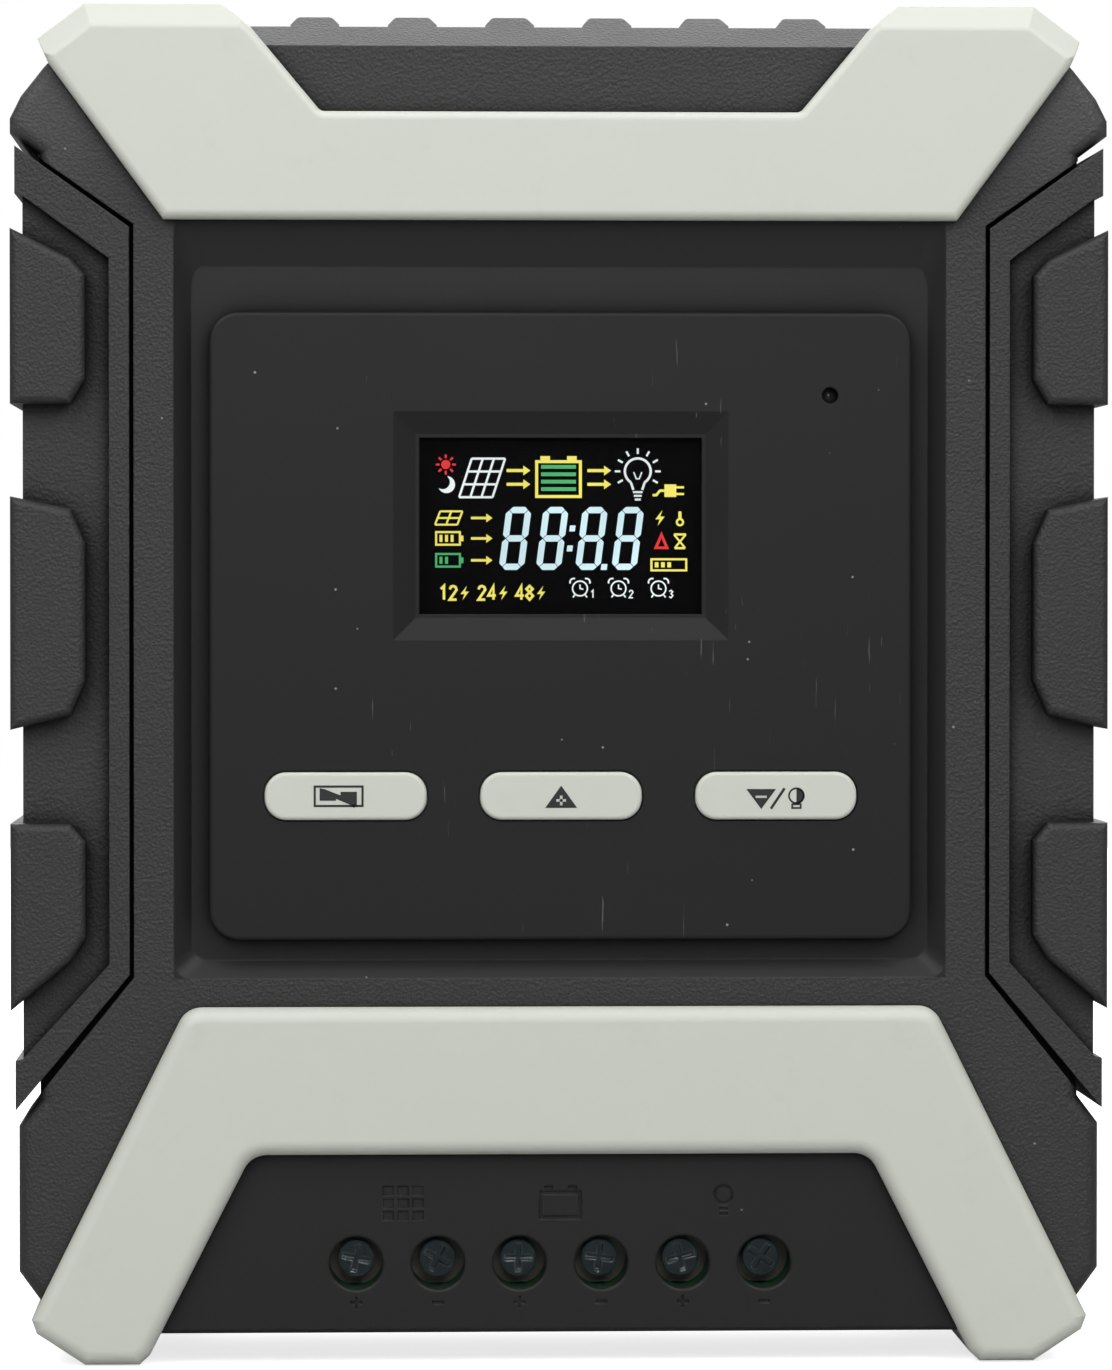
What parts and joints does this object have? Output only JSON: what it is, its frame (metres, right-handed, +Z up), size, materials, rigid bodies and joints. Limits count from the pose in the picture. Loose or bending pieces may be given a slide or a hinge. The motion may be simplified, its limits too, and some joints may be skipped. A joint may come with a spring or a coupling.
{
  "type": "charge controller",
  "caption": "Wall-mounted solar charge controller: two-tone shell with side grips, display, push buttons and screw terminals that clamp cables from below.",
  "frame": {"origin": "centre of the wall keyhole pattern, on the face that lies against the wall", "axes": "+Z up, -Y out of the front face towards the viewer, +X to the viewer's right"},
  "size_m": [0.1478, 0.0505, 0.1826],
  "materials": {
    "black_shell": "fine spark-eroded texture",
    "grip_shell": "fine spark-eroded texture",
    "pale_trim": "fine satin",
    "plate_black": "smooth satin",
    "clear_window": "clear, smoked",
    "display_glass": "dark glass",
    "light_guide": "diffusing white",
    "lamp": "clear moulded lens",
    "pale_button": "fine satin",
    "switch_black": "moulded",
    "circuit_board": "solder mask",
    "steel_screw": "zinc plated",
    "blued_screw": "dark plated",
    "heat_sink": "extruded",
    "thermal_pad": "soft sheet",
    "epoxy": "moulded epoxy",
    "capacitor_sleeve": "shrunk sleeve",
    "ferrite": "coated",
    "copper": "bare copper",
    "tinned_copper": "tin plated",
    "fuse_amber": "translucent",
    "terminal_green": "moulded nylon",
    "nylon": "moulded nylon",
    "cable_grey": "ribbon"
  },
  "bodies": {
    "housing": {"back_cover": "black_shell", "blade_fuses": "fuse_amber", "board_plugs": "nylon", "board_screws": "steel_screw", "board_spacers": "nylon", "bottom_trim": "pale_trim", "capacitors": "capacitor_sleeve", "case_screws": "steel_screw", "clamp_bar_screws": "steel_screw", "control_board": "circuit_board", "control_board_screws": "steel_screw", "controller_chips": "epoxy", "current_bars": "tinned_copper", "display_backlight": "light_guide", "display_frame": "nylon", "display_panel": "display_glass", "display_plate": "plate_black", "display_window": "clear_window", "front_cover": "black_shell", "fuse_clips": "tinned_copper", "heat_sink": "heat_sink", "heat_sink_screws": "steel_screw", "indicator_lamp": "lamp", "inductor_core": "ferrite", "inductor_winding": "copper", "left_grip": "grip_shell", "main_board": "circuit_board", "power_transistors": "epoxy", "ribbon_cable": "cable_grey", "right_grip": "grip_shell", "shunt_resistor": "copper", "switch_bodies": "switch_black", "terminal_block": "terminal_green", "thermal_pad": "thermal_pad", "top_trim": "pale_trim", "transistor_clamp_bar": "steel_screw"},
    "menu_button": {"menu_button": "pale_button", "menu_switch_stem": "switch_black"},
    "up_button": {"up_button": "pale_button", "up_switch_stem": "switch_black"},
    "down_button": {"down_button": "pale_button", "down_switch_stem": "switch_black"},
    "terminal_screw_1": {"terminal_screw_1": "blued_screw"},
    "wire_clamp_1": {"wire_clamp_1": "tinned_copper"},
    "terminal_screw_2": {"terminal_screw_2": "blued_screw"},
    "wire_clamp_2": {"wire_clamp_2": "tinned_copper"},
    "terminal_screw_3": {"terminal_screw_3": "blued_screw"},
    "wire_clamp_3": {"wire_clamp_3": "tinned_copper"},
    "terminal_screw_4": {"terminal_screw_4": "blued_screw"},
    "wire_clamp_4": {"wire_clamp_4": "tinned_copper"},
    "terminal_screw_5": {"terminal_screw_5": "blued_screw"},
    "wire_clamp_5": {"wire_clamp_5": "tinned_copper"},
    "terminal_screw_6": {"terminal_screw_6": "blued_screw"},
    "wire_clamp_6": {"wire_clamp_6": "tinned_copper"}
  },
  "joints": [
    {"name": "menu_press", "type": "slide", "parent": "housing", "child": "menu_button", "axis": [0, 1, 0], "range_m": [0, 0.0005], "stiffness_N_per_m": 3000},
    {"name": "up_press", "type": "slide", "parent": "housing", "child": "up_button", "axis": [0, 1, 0], "range_m": [0, 0.0005], "stiffness_N_per_m": 3000},
    {"name": "down_press", "type": "slide", "parent": "housing", "child": "down_button", "axis": [0, 1, 0], "range_m": [0, 0.0005], "stiffness_N_per_m": 3000},
    {"name": "screw_turn_1", "type": "hinge", "parent": "housing", "child": "terminal_screw_1", "pos_m": [-0.0275, -0.0417, -0.0779], "axis": [0, 1, 0], "range_deg": [0, 1801]},
    {"name": "clamp_rise_1", "type": "slide", "parent": "housing", "child": "wire_clamp_1", "axis": [0, -1, 0], "range_m": [0, 0.0035]},
    {"name": "screw_turn_2", "type": "hinge", "parent": "housing", "child": "terminal_screw_2", "pos_m": [-0.0165, -0.0417, -0.0779], "axis": [0, 1, 0], "range_deg": [0, 1801]},
    {"name": "clamp_rise_2", "type": "slide", "parent": "housing", "child": "wire_clamp_2", "axis": [0, -1, 0], "range_m": [0, 0.0035]},
    {"name": "screw_turn_3", "type": "hinge", "parent": "housing", "child": "terminal_screw_3", "pos_m": [-0.0055, -0.0417, -0.0779], "axis": [0, 1, 0], "range_deg": [0, 1801]},
    {"name": "clamp_rise_3", "type": "slide", "parent": "housing", "child": "wire_clamp_3", "axis": [0, -1, 0], "range_m": [0, 0.0035]},
    {"name": "screw_turn_4", "type": "hinge", "parent": "housing", "child": "terminal_screw_4", "pos_m": [0.0055, -0.0417, -0.0779], "axis": [0, 1, 0], "range_deg": [0, 1801]},
    {"name": "clamp_rise_4", "type": "slide", "parent": "housing", "child": "wire_clamp_4", "axis": [0, -1, 0], "range_m": [0, 0.0035]},
    {"name": "screw_turn_5", "type": "hinge", "parent": "housing", "child": "terminal_screw_5", "pos_m": [0.0165, -0.0417, -0.0779], "axis": [0, 1, 0], "range_deg": [0, 1801]},
    {"name": "clamp_rise_5", "type": "slide", "parent": "housing", "child": "wire_clamp_5", "axis": [0, -1, 0], "range_m": [0, 0.0035]},
    {"name": "screw_turn_6", "type": "hinge", "parent": "housing", "child": "terminal_screw_6", "pos_m": [0.0275, -0.0417, -0.0779], "axis": [0, 1, 0], "range_deg": [0, 1801]},
    {"name": "clamp_rise_6", "type": "slide", "parent": "housing", "child": "wire_clamp_6", "axis": [0, -1, 0], "range_m": [0, 0.0035]}
  ],
  "couplings": [
    {"joint": "screw_turn_1", "follows": "clamp_rise_1", "rad_per_m": 8976},
    {"joint": "screw_turn_2", "follows": "clamp_rise_2", "rad_per_m": 8976},
    {"joint": "screw_turn_3", "follows": "clamp_rise_3", "rad_per_m": 8976},
    {"joint": "screw_turn_4", "follows": "clamp_rise_4", "rad_per_m": 8976},
    {"joint": "screw_turn_5", "follows": "clamp_rise_5", "rad_per_m": 8976},
    {"joint": "screw_turn_6", "follows": "clamp_rise_6", "rad_per_m": 8976}
  ]
}
